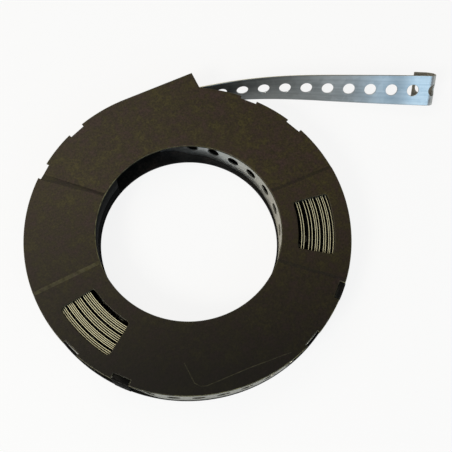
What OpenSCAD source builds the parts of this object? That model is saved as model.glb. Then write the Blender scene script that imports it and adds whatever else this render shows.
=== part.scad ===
// Perforated steel strap on its coil, in a clipped plastic cassette, with the free end drawn out of the spout.
// The cassette's axis is Z. The spout points along +X, at the +Y side. The cassette lies on the floor at z = 0.

/* [Strap] */
// width of the strap
strap_w = 17; // [12:0.5:26]
// thickness of the strap
strap_t = 0.75; // [0.5:0.05:1.2]
// diameter of the holes
hole_d = 6.5; // [4:0.1:9]
// distance from hole to hole along the strap
hole_pitch = 12; // [10:0.5:20]
// number of turns on the coil
turns = 24; // [10:1:26]
// thickness of the web that joins the turns at half height, out of sight between them
turn_web = 2; // [1:0.5:6]

/* [Cassette] */
// outer radius of the cassette
case_r = 82.5; // [76:0.5:100]
// radius of the open middle, in the back plate
bore_r = 46.5; // [40:0.1:50]
// how much further out the front plate's opening and the wall beside it lie
front_ease = 0.5; // [0.1:0.1:1]
// wall thickness of the moulded plates
plate_t = 1.2; // [1:0.1:2]
// how far the two raised panels stand above the rest of the front plate
panel_step = 0.4; // [0.2:0.1:0.8]
// height of the back shell's part of the wall beside the open middle, from the floor
collar_h = 8; // [5:0.5:12]
// thickness of that wall
collar_t = 1; // [0.8:0.1:1.5]
// clear distance between the coil and the rim of the plates
rim_play = 1.1; // [0.9:0.1:3]
// length of the spout along X, from the cassette's axis
spout_l = 40; // [30:1:45]

/* [Windows] */
// distance from the rim to a viewing window
window_rim = 8.7; // [6:0.1:12]
// width of a viewing window, along the radius
window_h = 18.4; // [10:0.2:20]
// angle that each window covers
window_span = 25.8; // [16:0.2:30]
// corner radius of the windows
window_corner = 1.6; // [0.8:0.1:2.5]

/* [Clips] */
// width of a clip notch along the rim
notch_w = 9; // [6:0.2:11]
// depth of a clip notch
notch_d = 1.6; // [1.4:0.1:2]
// reach of a clip's nose over the front plate
nose_l = 1.2; // [0.8:0.1:1.6]

/* [Free end] */
// angle that the free end bends through after the spout
tail_bend = 12.8; // [0:0.2:20]
// angle that the free end leans over by its far end
tail_lean = 46.4; // [30:0.4:50]
// length of the free end, from the coil to the start of the hook
tail_l = 149.6; // [120:0.2:160]
// distance along the free end from the coil to its first hole
first_hole = 21.3; // [18:0.1:24]
// radius of the hooked end, at half thickness
hook_r = 4.5; // [4:0.1:6]

/* [Hidden] */
$fn = 96;
gap = 0.2;
inside_h = strap_w + gap;
coil_bottom = plate_t;
coil_top = coil_bottom + strap_w;
mid_z = (coil_bottom + coil_top) / 2;
front_bottom = plate_t + inside_h;
front_top = front_bottom + plate_t;
case_t = front_top + panel_step;
front_open_r = bore_r + front_ease;
coil_in_r = front_open_r + collar_t + 0.3;
coil_out_r = case_r - rim_play;
turn_pitch = (coil_out_r - coil_in_r - strap_t) / (turns - 1);
// the free end leaves the coil along a line through this point, just outside the corner of the spout
exit_gap = 1.1;
exit_y = sqrt(case_r * case_r - spout_l * spout_l) + exit_gap;
exit_r = norm([spout_l, exit_y]);
// the free end's root lies a little inside the outermost turn, so that the two are one piece
root_r = coil_out_r - strap_t / 2 - 0.15;
leave_a = atan2(exit_y, spout_l) + acos(root_r / exit_r);
mouth_s = sqrt(exit_r * exit_r - root_r * root_r);
bend_from = 7;
bend_to = 95;
tail_steps = 30;
hook_steps = 12;
hook_l = PI * hook_r;
// the free end rises from the spout until its hooked flap just clears the floor
tail_rise = 2 * hook_r * sin(tail_lean) + strap_w / 2 * cos(tail_lean) + strap_t / 2 * sin(tail_lean)
    + 0.05 - mid_z;
// the hooked end is cut between two holes
hook_holes = floor((tail_l + hook_l - first_hole) / hole_pitch + 0.2);
straight_holes = floor((tail_l - first_hole - hole_d / 2) / hole_pitch);
flap_l = first_hole + (hook_holes + 0.4) * hole_pitch - tail_l - hook_l;
in_holes = floor(2 * PI * coil_in_r / hole_pitch);
out_holes = floor(2 * PI * coil_out_r / hole_pitch) - 3;
in_hole_a = 63.3;
// a hole on the coil goes through its turn and ends in the gap behind it
blind_l = (strap_t + turn_pitch) / 2;
window_out_r = case_r - window_rim;
window_in_r = window_out_r - window_h;
panel_from = [-45, 135];
panel_span = 45;
window_a = [-22.5, 201];
// the clips stand in two of the notches, and the others are open
clip_a = [221.7, 311.7];
open_notch_a = [21.7, 41.7, 111.7, 131.7, 201.7, 291.7];
clip_t = rim_play;
collar_from = 118;
collar_to = 188;

// A point in the plane, from its radius and angle.
function polar(r, a) = [r * cos(a), r * sin(a)];

// The inner points of an arc around a centre, in a number of steps.
function arc(c, r, from, to, n) = [for (i = [0.5 : n - 0.5]) c + polar(r, from + (to - from) * i / n)];

// A value that runs smoothly from 0 to 1.
function limited(u) = min(max(u, 0), 1);
function smooth(u) = limited(u) * limited(u) * (3 - 2 * limited(u));

// The free end's direction, lean and place at a distance along it from the coil.
function heading(s) = leave_a - 90 - tail_bend * smooth((s - bend_from) / (bend_to - bend_from));
function drawn_out(s) = limited((s - mouth_s) / (tail_l - mouth_s));
function lean(s) = tail_lean * drawn_out(s);
function total(v, i = 0) = i < len(v) ? v[i] + total(v, i + 1) : [0, 0];
function way(s, n = 40) = total([for (i = [0 : n - 1]) polar(s / n, heading(s * (i + 0.5) / n))]);
function spot(s) = polar(root_r, leave_a) + way(s);

// The free end's own directions there: along it, through its thickness and across its width.
function along(s) = [cos(heading(s)), sin(heading(s)), 0];
function through(s) = [-sin(heading(s)) * cos(lean(s)), cos(heading(s)) * cos(lean(s)), -sin(lean(s))];
function across(s) = [-sin(heading(s)) * sin(lean(s)), cos(heading(s)) * sin(lean(s)), cos(lean(s))];
function centre(s) = [spot(s)[0], spot(s)[1], mid_z + tail_rise * drawn_out(s)];

// The four corners of the strap's section, at a place with a direction through it and one across it.
function corners(place, m, w) = [
    for (k = [[-1, -1], [1, -1], [1, 1], [-1, 1]])
        place + m * k[0] * strap_t / 2 + w * k[1] * strap_w / 2
];

// The same at a distance along the free end, at an angle around the bend of its hook, and at its cut end.
function tail_section(s) = corners(centre(s), through(s), across(s));
function bend_section(a) = corners(
    centre(tail_l) + hook_r * (along(tail_l) * sin(a) + through(tail_l) * (1 - cos(a))),
    through(tail_l) * cos(a) - along(tail_l) * sin(a),
    across(tail_l)
);
function cut_section() = corners(
    centre(tail_l) - along(tail_l) * flap_l + through(tail_l) * 2 * hook_r,
    -through(tail_l),
    across(tail_l)
);

// A flat piece of a ring between two angles.
module ring_piece(r_in, r_out, from, to) {
    far = 2 * r_out;
    intersection() {
        difference() {
            circle(r_out);
            circle(r_in);
        }
        polygon([[0, 0], polar(far, from), polar(far, (from + to) / 2), polar(far, to)]);
    }
}

// A window with round corners, centred on the X axis.
module window() {
    c = window_corner;
    edge = window_span / 2;
    in_a = edge - asin(c / (window_in_r + c));
    out_a = edge - asin(c / (window_out_r - c));
    outer = arc([0, 0], window_out_r, -out_a, out_a, 10);
    inner = arc([0, 0], window_in_r, in_a, -in_a, 10);
    polygon(concat(
        outer,
        arc(polar(window_out_r - c, out_a), c, out_a, edge + 90, 4),
        arc(polar(window_in_r + c, in_a), c, edge + 90, in_a + 180, 4),
        inner,
        arc(polar(window_in_r + c, -in_a), c, 180 - in_a, 270 - edge, 4),
        arc(polar(window_out_r - c, -out_a), c, -90 - edge, -out_a, 4)
    ));
}

// The outline that both plates share: a disc with a tangent spout, open in the middle.
module plate_outline(open_r) {
    difference() {
        union() {
            circle(case_r);
            translate([0, case_r / 2]) square([spout_l, case_r / 2]);
        }
        circle(open_r);
    }
}

// A notch in the rim, centred on the X axis.
module notch(depth) {
    translate([case_r - depth, -notch_w / 2]) square([depth + 5, notch_w]);
}

// The wound strap: one turned solid, grooved between its turns on both ends.
module coil() {
    r = coil_in_r;
    rotate_extrude() {
        translate([r, mid_z - turn_web / 2]) square([coil_out_r - r, turn_web]);
        for (k = [0 : turns - 1])
            translate([r + k * turn_pitch, coil_bottom]) square([strap_t, strap_w]);
    }
}

// The holes that show on the innermost and outermost turns.
module coil_holes() {
    in_step = hole_pitch / coil_in_r * 180 / PI;
    out_step = hole_pitch / root_r * 180 / PI;
    for (k = [0 : in_holes - 1])
        rotate(in_hole_a - k * in_step) translate([coil_in_r - 1, 0, mid_z])
            rotate([0, 90, 0]) cylinder(d = hole_d, h = 1 + blind_l);
    for (k = [3 : out_holes])
        rotate(leave_a + k * out_step - first_hole / root_r * 180 / PI)
            translate([coil_out_r - blind_l, 0, mid_z])
                rotate([0, 90, 0]) cylinder(d = hole_d, h = 1 + blind_l);
}

// The free end: a flat ribbon that bends, leans over and is hooked back behind itself.
module ribbon() {
    points = concat(
        [for (i = [0 : tail_steps]) each tail_section(tail_l * i / tail_steps)],
        [for (i = [1 : hook_steps]) each bend_section(180 * i / hook_steps)],
        cut_section()
    );
    last = len(points) - 4;
    sides = [
        for (i = [0 : 4 : last - 4], k = [0 : 3])
            let (a = i + k, b = i + (k + 1) % 4)
                each [[a, b + 4, b], [a, a + 4, b + 4]]
    ];
    ends = [[0, 1, 2, 3], [last + 3, last + 2, last + 1, last]];
    polyhedron(points, concat(sides, ends));
}

// Puts its children on the free end: X along it, Y through it, Z across it.
module on_tail(s) {
    translate(centre(s)) rotate([0, 0, heading(s)]) rotate([-lean(s), 0, 0]) children();
}

// The holes of the free end: on its straight stretch, on the bend of the hook and on the flap.
module tail_hole() {
    rotate([90, 0, 0]) cylinder(d = hole_d, h = 3, center = true);
}

module tail_holes() {
    for (k = [0 : hook_holes]) {
        s = first_hole + k * hole_pitch;
        beyond = s - tail_l;
        if (k <= straight_holes)
            on_tail(s) tail_hole();
        else if (beyond < hook_l)
            on_tail(tail_l) translate([0, hook_r, 0]) rotate([0, 0, beyond / hook_l * 180])
                translate([0, -hook_r, 0]) tail_hole();
        else
            on_tail(tail_l) translate([hook_l - beyond, 2 * hook_r, 0]) tail_hole();
    }
}

module strap() {
    color("silver") difference() {
        union() {
            coil();
            ribbon();
        }
        coil_holes();
        tail_holes();
    }
}

// A clip of the back shell: a post at the rim, with a nose over the front plate.
module clip() {
    post_w = notch_w - 2 * gap;
    in_r = case_r - clip_t + gap;
    nose_bottom = front_bottom + plate_t / 2;
    nose_in_r = case_r - notch_d - nose_l;
    clip_top = front_top - 0.1;
    linear_extrude(clip_top) intersection() {
        difference() {
            circle(case_r + gap);
            circle(in_r);
        }
        translate([0, -post_w / 2]) square([case_r + 5, post_w]);
    }
    translate([0, 0, nose_bottom]) linear_extrude(clip_top - nose_bottom)
        translate([nose_in_r, -post_w / 2]) square([case_r - nose_in_r - clip_t / 2, post_w]);
}

// The pocket in the front plate that takes a clip's nose.
module nose_pocket() {
    nose_in_r = case_r - notch_d - nose_l;
    translate([nose_in_r - gap, -notch_w / 2, front_bottom + plate_t / 2 - 0.05])
        cube([notch_d + nose_l + 5, notch_w, case_t]);
}

module front_shell() {
    color("#33302a") difference() {
        union() {
            translate([0, 0, front_bottom]) linear_extrude(plate_t) plate_outline(front_open_r);
            for (a = panel_from)
                translate([0, 0, front_bottom]) linear_extrude(plate_t + panel_step)
                    ring_piece(front_open_r, case_r, a, a + panel_span);
            translate([0, 0, collar_h]) linear_extrude(front_bottom - collar_h + plate_t / 2)
                ring_piece(front_open_r, front_open_r + collar_t, collar_from, collar_to);
        }
        for (a = window_a)
            translate([0, 0, front_bottom - 1]) linear_extrude(case_t) rotate(a) window();
        for (a = concat(clip_a, open_notch_a))
            translate([0, 0, front_bottom - 1]) linear_extrude(case_t) rotate(a) notch(notch_d);
        for (a = clip_a)
            rotate(a) nose_pocket();
    }
}

module back_shell() {
    color("#2b2822") {
        linear_extrude(plate_t) plate_outline(bore_r);
        linear_extrude(collar_h)
            ring_piece(front_open_r, front_open_r + collar_t, collar_from, collar_to);
        linear_extrude(front_bottom) translate([0, case_r - rim_play + 0.3])
            square([spout_l, rim_play - 0.3]);
        for (a = clip_a)
            rotate(a) clip();
    }
}

strap();
front_shell();
back_shell();
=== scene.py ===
# %% [markdown]
# # A perforated steel strap in its cassette
# The real object is a flat steel strip, punched with a row of holes, galvanised and wound up in a
# plastic cassette of two clipped shells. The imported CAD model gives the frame: three nodes, one body and
# no joints. We keep its sizes and replace each node by a piece with finer shape and finish.

import math

import bmesh
import bpy
import numpy as np
from mathutils import Matrix
from mathutils import Vector
from mathutils.geometry import delaunay_2d_cdt


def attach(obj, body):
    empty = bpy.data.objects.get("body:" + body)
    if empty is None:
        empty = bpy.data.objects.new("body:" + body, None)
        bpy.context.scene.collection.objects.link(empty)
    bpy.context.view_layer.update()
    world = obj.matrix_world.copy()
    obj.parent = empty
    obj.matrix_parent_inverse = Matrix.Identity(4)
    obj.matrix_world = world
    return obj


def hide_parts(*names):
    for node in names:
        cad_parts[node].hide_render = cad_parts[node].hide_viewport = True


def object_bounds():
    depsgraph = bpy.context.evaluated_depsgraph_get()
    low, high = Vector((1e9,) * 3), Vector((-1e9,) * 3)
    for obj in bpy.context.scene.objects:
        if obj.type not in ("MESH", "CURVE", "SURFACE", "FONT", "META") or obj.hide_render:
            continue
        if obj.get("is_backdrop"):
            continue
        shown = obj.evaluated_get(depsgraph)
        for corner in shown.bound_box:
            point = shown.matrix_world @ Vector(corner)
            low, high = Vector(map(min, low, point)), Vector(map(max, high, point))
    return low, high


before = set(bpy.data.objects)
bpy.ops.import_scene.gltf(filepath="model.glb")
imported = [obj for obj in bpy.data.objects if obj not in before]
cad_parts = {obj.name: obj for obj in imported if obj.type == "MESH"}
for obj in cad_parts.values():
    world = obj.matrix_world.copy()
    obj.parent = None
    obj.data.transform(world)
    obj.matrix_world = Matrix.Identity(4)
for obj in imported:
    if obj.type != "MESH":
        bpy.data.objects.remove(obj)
cad_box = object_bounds()
scene = bpy.context.scene
scene.view_settings.view_transform = "Standard"
MM = 0.001
print("nodes:", sorted(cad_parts))

# %% [markdown]
# ## Camera
# The camera was worked out from the rims of the cassette and the row of holes. Its three axes are
# written down as rows, and its place in millimetres. The frame is square, so the lens follows from the
# focal length in pixels.

# %% Camera
IMAGE_SIZE = 452
FOCAL_PIXELS = 718.02
SENSOR = 36
EYE = Vector((-50.045, -112.887, 360.971)) * MM
EYE_RIGHT = (0.89783, -0.43842, 0.04108)
EYE_UP = (0.39908, 0.84958, 0.34489)
EYE_BACK = (-0.18611, -0.29326, 0.93774)


def add_object(name, data):
    added = bpy.data.objects.new(name, data)
    scene.collection.objects.link(added)
    return added


camera_data = bpy.data.cameras.new("camera")
camera_data.sensor_width = SENSOR
camera_data.lens = FOCAL_PIXELS / IMAGE_SIZE * SENSOR
camera_data.clip_start = 0.01
camera = add_object("camera", camera_data)
camera_turn = Matrix((EYE_RIGHT, EYE_UP, EYE_BACK)).transposed().to_4x4()
camera.matrix_world = Matrix.Translation(EYE) @ camera_turn
scene.camera = camera
print("lens:", round(camera_data.lens, 2), "mm")

# %% [markdown]
# ## Helpers for node trees
# Materials, the world and Geometry Nodes are all built from nodes. One helper makes a node, sets its
# options and fills its inputs, either with a value or with a link from another node. The others are
# short names for the nodes that come back often, and hand on the socket that is used next.


# %% Node helpers
def add_node(tree, kind, options=None, inputs=None):
    node = tree.nodes.new(kind)
    for name, value in (options or {}).items():
        setattr(node, name, value)
    for name, value in (inputs or {}).items():
        if isinstance(value, bpy.types.NodeSocket):
            tree.links.new(value, node.inputs[name])
        else:
            node.inputs[name].default_value = value
    return node


def math_node(tree, operation, *values):
    return add_node(tree, "ShaderNodeMath", {"operation": operation}, dict(enumerate(values))).outputs[0]


def map_range(tree, value, low, high, to_low=0, to_high=1, ease="LINEAR"):
    inputs = {"Value": value, "From Min": low, "From Max": high, "To Min": to_low, "To Max": to_high}
    return add_node(tree, "ShaderNodeMapRange", {"interpolation_type": ease}, inputs).outputs[0]


# %% [markdown]
# Colours, patterns and vectors have nodes of their own.


# %% Colour and vector helpers
def mix_colour(tree, factor, first, second):
    options = {"data_type": "RGBA"}
    return add_node(tree, "ShaderNodeMix", options, {0: factor, 6: first, 7: second}).outputs[2]


def noise(tree, place, scale, detail, roughness=0.5):
    inputs = {"Vector": place, "Scale": scale, "Detail": detail, "Roughness": roughness}
    return add_node(tree, "ShaderNodeTexNoise", None, inputs).outputs["Fac"]


def vector_math(tree, operation, *values):
    options = {"operation": operation}
    return add_node(tree, "ShaderNodeVectorMath", options, dict(enumerate(values))).outputs


def scale_vector(tree, vector, amount):
    options = {"operation": "SCALE"}
    return add_node(tree, "ShaderNodeVectorMath", options, {0: vector, "Scale": amount}).outputs[0]


def colour_ramp(tree, factor, positions, colours):
    ramp = add_node(tree, "ShaderNodeValToRGB", None, {0: factor})
    stops = ramp.color_ramp.elements
    for position in positions[1:-1]:
        stops.new(position)
    for stop, position, colour in zip(stops, positions, colours):
        stop.position = position
        stop.color = colour
    return ramp.outputs[0]


def bump(tree, strength, distance, height):
    inputs = {"Strength": strength, "Distance": distance, "Height": height}
    return add_node(tree, "ShaderNodeBump", None, inputs).outputs[0]


def split(tree, vector):
    return add_node(tree, "ShaderNodeSeparateXYZ", None, {0: vector}).outputs


def attribute(tree, name, output):
    return add_node(tree, "ShaderNodeAttribute", {"attribute_name": name}).outputs[output]


# %% [markdown]
# Every material starts from an empty tree and ends in an output node.


# %% Material helpers
def grey(level):
    return (level, level, level, 1)


def new_material(name):
    material = bpy.data.materials.new(name)
    material.use_nodes = True
    tree = material.node_tree
    tree.nodes.clear()
    return material, tree


def end_material(tree, shader):
    add_node(tree, "ShaderNodeOutputMaterial", None, {"Surface": shader.outputs[0]})


# %% [markdown]
# ## Floor
# The floor is pale and plain. For the camera it is mostly white by itself, for mirror rays a little, and
# the rest of it takes light, so that it keeps a soft shadow.

# %% Floor
FLOOR_WHITE = 0.86
FLOOR_IN_METAL = 0.2
FLOOR_GREY = 0.82
FLOOR_HALF = 4
FLOOR_Z = -0.0002


def floor_material():
    material, tree = new_material("pale_floor")
    rays = add_node(tree, "ShaderNodeLightPath").outputs
    mirrored = math_node(tree, "MAXIMUM", rays["Is Glossy Ray"], rays["Is Transmission Ray"])
    in_metal = math_node(tree, "MULTIPLY", mirrored, FLOOR_IN_METAL)
    shown = math_node(tree, "MULTIPLY_ADD", rays["Is Camera Ray"], FLOOR_WHITE, in_metal)
    paper = add_node(tree, "ShaderNodeBsdfDiffuse", None, {"Color": grey(FLOOR_GREY)})
    white = add_node(tree, "ShaderNodeEmission", None, {"Color": grey(1), "Strength": 1})
    shaders = {0: shown, 1: paper.outputs[0], 2: white.outputs[0]}
    end_material(tree, add_node(tree, "ShaderNodeMixShader", None, shaders))
    return material


def make_floor():
    mesh = bpy.data.meshes.new("floor")
    signs = ((-1, -1), (1, -1), (1, 1), (-1, 1))
    mesh.from_pydata([(x * FLOOR_HALF, y * FLOOR_HALF, FLOOR_Z) for x, y in signs], [], [(0, 1, 2, 3)])
    mesh.materials.append(floor_material())
    floor = add_object("floor", mesh)
    floor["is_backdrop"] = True
    return floor


floor = make_floor()
print("floor:", [round(v, 2) for v in floor.dimensions])

# %% [markdown]
# ## Light
# A warm softbox hangs overhead, and a cooler, dimmer one stands at the side of the camera, as a window
# would. A small warm one at the left gives shape to the metal. The world fills the rest almost evenly,
# and the camera sees it as a pale backdrop.

# %% World and softboxes
ROOM_LOW = (0.25, 0.25, 0.25, 1)
ROOM_TOP = (0.34, 0.325, 0.28, 1)
BACKDROP = 0.94


def softbox(name, place, size, watts, colour):
    data = bpy.data.lights.new(name, "AREA")
    data.shape = "RECTANGLE"
    data.size, data.size_y = size
    data.energy = watts
    data.color = colour
    lamp = add_object(name, data)
    lamp.location = place
    lamp.rotation_euler = Vector(place).to_track_quat("Z", "Y").to_euler()
    lamp.visible_camera = False


def make_world():
    world = bpy.data.worlds.new("studio")
    world.use_nodes = True
    tree = world.node_tree
    tree.nodes.clear()
    place = add_node(tree, "ShaderNodeTexCoord").outputs["Generated"]
    sky = colour_ramp(tree, split(tree, place)["Z"], (0, 1), (ROOM_LOW, ROOM_TOP))
    rays = add_node(tree, "ShaderNodeLightPath").outputs
    room = add_node(tree, "ShaderNodeBackground", None, {"Color": sky, "Strength": 1})
    backdrop = add_node(tree, "ShaderNodeBackground", None, {"Color": grey(BACKDROP), "Strength": 1})
    shaders = {0: rays["Is Camera Ray"], 1: room.outputs[0], 2: backdrop.outputs[0]}
    both = add_node(tree, "ShaderNodeMixShader", None, shaders)
    add_node(tree, "ShaderNodeOutputWorld", None, {"Surface": both.outputs[0]})
    scene.world = world


make_world()
softbox("overhead", (-0.35, 0.75, 1.25), (1.3, 1.0), 5.0, (1.0, 0.92, 0.74))
softbox("window", (0.0, -1.02, 0.62), (1.2, 0.7), 3.8, (0.52, 0.78, 1.0))
softbox("key", (-0.9, -0.35, 0.9), (0.4, 0.4), 8.8, (1.0, 0.96, 0.88))

# %% [markdown]
# ## Moulded plastic
# The shells are black plastic with a fine grain from the mould. Where they face up, a film of dust and
# handling turns them olive and brown in soft patches with fine speckles, so the film follows the
# surface's own direction upwards. The film is lighter towards the spout's side and darker away from it,
# which is a painted sheen. One attribute stored on the mesh lightens the rounded edges: a little all
# round as wear, and more on two stretches as a painted highlight. Another lightens one slope of the
# raised panels as a painted highlight, and where it is below zero it darkens the others as painted
# shade. A painted image could hold all this, but noise on the piece's own coordinates needs no file and
# shows no seam.

# %% Dust film and painted light
EDGE_WEAR_AND_LIGHT = "edge_wear_and_light"
SLOPE_LIGHT_AND_SHADE = "slope_light_and_shade"
FILM_STOPS = (0.38, 0.5, 0.62)
SPOUTWARD = (0.45, 1, 0)


def dust_and_painted_light(tree, place, film, slope):
    film_colour = colour_ramp(tree, noise(tree, place, 130, 7, 0.8), FILM_STOPS, film)
    speckled = map_range(tree, noise(tree, place, 1000, 3, 0.7), 0.3, 0.7, 0.5, 1.5)
    spoutward = vector_math(tree, "DOT_PRODUCT", place, SPOUTWARD)["Value"]
    # Painted sheen: the film is lighter towards the spout's side and darker away from it.
    painted_sheen = map_range(tree, spoutward, -0.08, 0.03, 0.25, 1.8)
    # Painted shade: the film is darker on the shaded slopes of the panels.
    unshaded = map_range(tree, slope, -1, 0, 0.2, 1)
    uneven = math_node(tree, "MULTIPLY", speckled, painted_sheen)
    return scale_vector(tree, film_colour, math_node(tree, "MULTIPLY", uneven, unshaded))


# %% Plastic material
BROWN_FILM = (0.019, 0.0105, 0.0085, 1)
DULL_FILM = (0.015, 0.0105, 0.0045, 1)
OLIVE_FILM = (0.022, 0.0175, 0.0045, 1)
DARK_FILM = (0.0075, 0.006, 0.0055, 1)
BLACK_PLASTIC = grey(0.003)
FRONT_FILM = (BROWN_FILM, DULL_FILM, OLIVE_FILM)
BACK_FILM = (BLACK_PLASTIC, BLACK_PLASTIC, DARK_FILM)
FRONT_WORN_AND_LIT = (0.30, 0.28, 0.15, 1)
BACK_WORN = (0.03, 0.03, 0.028, 1)


def make_plastic(name, film, worn_or_lit, shine):
    material, tree = new_material(name)
    place = add_node(tree, "ShaderNodeTexCoord").outputs["Object"]
    normal = add_node(tree, "ShaderNodeNewGeometry").outputs["Normal"]
    slope = attribute(tree, SLOPE_LIGHT_AND_SHADE, "Fac")
    facing_up = map_range(tree, split(tree, normal)["Z"], 0.35, 0.95)
    film_and_painted_light = mix_colour(tree, facing_up, BLACK_PLASTIC, dust_and_painted_light(tree, place, film, slope))
    # Painted highlight and wear on the edges, and the painted highlight on one slope, lighten towards the
    # worn colour.
    wear_and_light_share = math_node(tree, "MAXIMUM", attribute(tree, EDGE_WEAR_AND_LIGHT, "Fac"), slope)
    patchy = map_range(tree, noise(tree, place, 400, 4), 0.35, 0.65, 0.3)
    lit_or_worn = math_node(tree, "MULTIPLY", wear_and_light_share, patchy)
    grain = noise(tree, place, 1500, 2)
    gloss = map_range(tree, grain, 0, 1, 0.28, 0.48)
    sides_dull = add_node(tree, "ShaderNodeMix", {"data_type": "FLOAT"}, {0: facing_up, 2: 1.0, 3: gloss})
    finish = {
        "Base Color": mix_colour(tree, lit_or_worn, film_and_painted_light, worn_or_lit), "Roughness": sides_dull.outputs[0],
        "Specular IOR Level": shine, "Normal": bump(tree, 0.35, 0.00015, grain),
    }
    end_material(tree, add_node(tree, "ShaderNodeBsdfPrincipled", None, finish))
    return material


front_plastic = make_plastic("front_plastic", FRONT_FILM, FRONT_WORN_AND_LIT, 0.28)
back_plastic = make_plastic("back_plastic", BACK_FILM, BACK_WORN, 0.12)
print("plastics:", front_plastic.name, back_plastic.name)

# %% [markdown]
# ## The way of the strap
# The strap is one strip. From its inner end it winds outwards, clockwise seen from above, leaves the
# coil along a tangent, runs through the spout, leans over and ends in a hook. The turns aren't even:
# they lie in bundles with gaps between them, which differ on the two sides of the coil. Two short lists
# describe the bundles at the two windows. An even spiral would be easier to write, but no wound strap
# lies that evenly.

# %% Bundles of turns
STRAP_T = 0.75
CASE_R = 82.5
RIM_PLAY = 1.1
ROOT_PLAY = 0.15
SPOUT_L = 40
EXIT_GAP = 1.1
ROOT_R = CASE_R - RIM_PLAY - STRAP_T / 2 - ROOT_PLAY
# each bundle: the number of turns, the radius of its first turn, the distance from turn to turn
LEFT_BUNDLES = (
    (4, 51.4, 1.05), (3, 57.7, 0.85), (2, 60.5, 0.9), (4, 63.1, 0.95), (4, 67.6, 0.8), (2, 71.6, 0.9),
    (5, 73.4, 1.85),
)
RIGHT_BUNDLES = (
    (1, 47.6, 1), (3, 52.3, 1.1), (2, 57.35, 1.2), (2, 61.1, 1.6), (2, 64.4, 0.9), (1, 66.6, 1),
    (2, 68.6, 1.0), (2, 71.1, 0.85), (9, 73.5, 0.92),
)


def bundle_radii(bundles):
    return [first + k * apart for number, first, apart in bundles for k in range(number)]


exit_y = math.sqrt(CASE_R ** 2 - SPOUT_L ** 2) + EXIT_GAP
exit_r = math.hypot(SPOUT_L, exit_y)
leave_angle = math.degrees(math.atan2(exit_y, SPOUT_L) + math.acos(ROOT_R / exit_r))
right_radii = bundle_radii(RIGHT_BUNDLES)
left_radii = bundle_radii(LEFT_BUNDLES)
turn_count = len(right_radii)
print("turns:", turn_count, "leaving the coil at", round(leave_angle, 2), "degrees")

# %% [markdown]
# A third list gives the innermost turn's radius at three more places, where the turns lie evenly and the
# inner ones draw back under the front plate, and one more place lies behind the wall. All places are put
# in a row of knots, by the angle turned from the inner end, and the radius runs smoothly from one knot
# to the next.

# %% Knots of the coil
RIGHT_WINDOW = -22.5
LEFT_WINDOW = 201
INNER_END = 92
INNER_END_R = 55.3
# each place: the angle, the innermost turn's radius there
EVEN_PLACES = ((80, 55.0), (60, 51.0), (36, 49.0))
LOOSE = 2.8
BEHIND_WALL = 125
BEHIND_WALL_R = 57.1


def even_radius(first_r, turn):
    return first_r + (ROOT_R - first_r) * turn / turn_count


def loose_radius(first_r, turn):
    return first_r if turn == 0 else even_radius(first_r + LOOSE, turn)


knots = [(0, INNER_END_R)]
for turn, (right_r, left_r) in enumerate(zip(right_radii, left_radii)):
    before = INNER_END + 360 * turn
    for angle, first_r in EVEN_PLACES:
        knots.append((before - angle, loose_radius(first_r, turn)))
    knots.append((before - RIGHT_WINDOW, right_r))
    knots.append((before - LEFT_WINDOW + 360, left_r))
    knots.append((before - BEHIND_WALL + 360, even_radius(BEHIND_WALL_R, turn)))
last_turned = INNER_END - leave_angle + 360 * turn_count
knots.append((last_turned, ROOT_R))
print("knots:", len(knots), "over", round(last_turned / 360, 2), "turns")

# %% [markdown]
# Between two clips the outermost turns swell out. The swelling grows a little over the first turns
# inwards, so that these lie closer, and then fades.

# %% Radius of the coil
SWELL = 1.05
SWELL_FROM = 226
SWELL_TO = 290
SWELL_EASE = 9
SWELL_GROWS = 0.45
SWELL_MORE = 4
SWELL_FADES = 0.55


def smooth(u):
    u = min(max(u, 0), 1)
    return u * u * (3 - 2 * u)


def swell(turned):
    inside = math.floor((last_turned - turned) / 360)
    most = max(0, min(SWELL + SWELL_GROWS * inside, SWELL + SWELL_MORE - SWELL_FADES * inside))
    angle = (INNER_END - turned) % 360
    return most * smooth((angle - SWELL_FROM) / SWELL_EASE) * smooth((SWELL_TO - angle) / SWELL_EASE)


def coil_radius(turned):
    for (a, r_a), (b, r_b) in zip(knots, knots[1:]):
        if turned <= b:
            return r_a + (r_b - r_a) * smooth((turned - a) / (b - a)) + swell(turned)
    return ROOT_R


print("inner end at radius", round(coil_radius(0), 2), "mm")

# %% [markdown]
# The free end follows the same rules as the CAD model: its heading bends a little, and it leans over
# more and more from the mouth of the spout to the hook, whose lower edge just clears the floor.

# %% Rules of the free end
STRAP_W = 17
MID_Z = 9.7
TAIL_BEND = 12.8
TAIL_LEAN = 46.4
TAIL_L = 149.6
BEND_FROM = 7
BEND_TO = 95
HOOK_R = 4.5
FLOOR_PLAY = 0.05
UP = np.array((0, 0, 1))
mouth_s = math.sqrt(exit_r ** 2 - ROOT_R ** 2)
lean_full = math.radians(TAIL_LEAN)
hook_reach = 2 * HOOK_R * math.sin(lean_full)
edge_reach = STRAP_W / 2 * math.cos(lean_full) + STRAP_T / 2 * math.sin(lean_full)
tail_rise = hook_reach + edge_reach + FLOOR_PLAY - MID_Z


def drawn_out(s):
    return min(max((s - mouth_s) / (TAIL_L - mouth_s), 0), 1)


def tail_directions(s):
    bend = TAIL_BEND * smooth((s - BEND_FROM) / (BEND_TO - BEND_FROM))
    turn = math.radians(leave_angle - 90 - bend)
    lean = lean_full * drawn_out(s)
    along = np.array((math.cos(turn), math.sin(turn), 0))
    side = np.array((-math.sin(turn), math.cos(turn), 0))
    through = side * math.cos(lean) - UP * math.sin(lean)
    across = side * math.sin(lean) + UP * math.cos(lean)
    return along, through, across


print("the free end's middle rises by", round(tail_rise, 2), "mm")

# %% [markdown]
# The way is a row of points in three parts: the coil, the free end and the hook with its flap. Every
# point also keeps two directions, through the strap's thickness and across its width.

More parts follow.
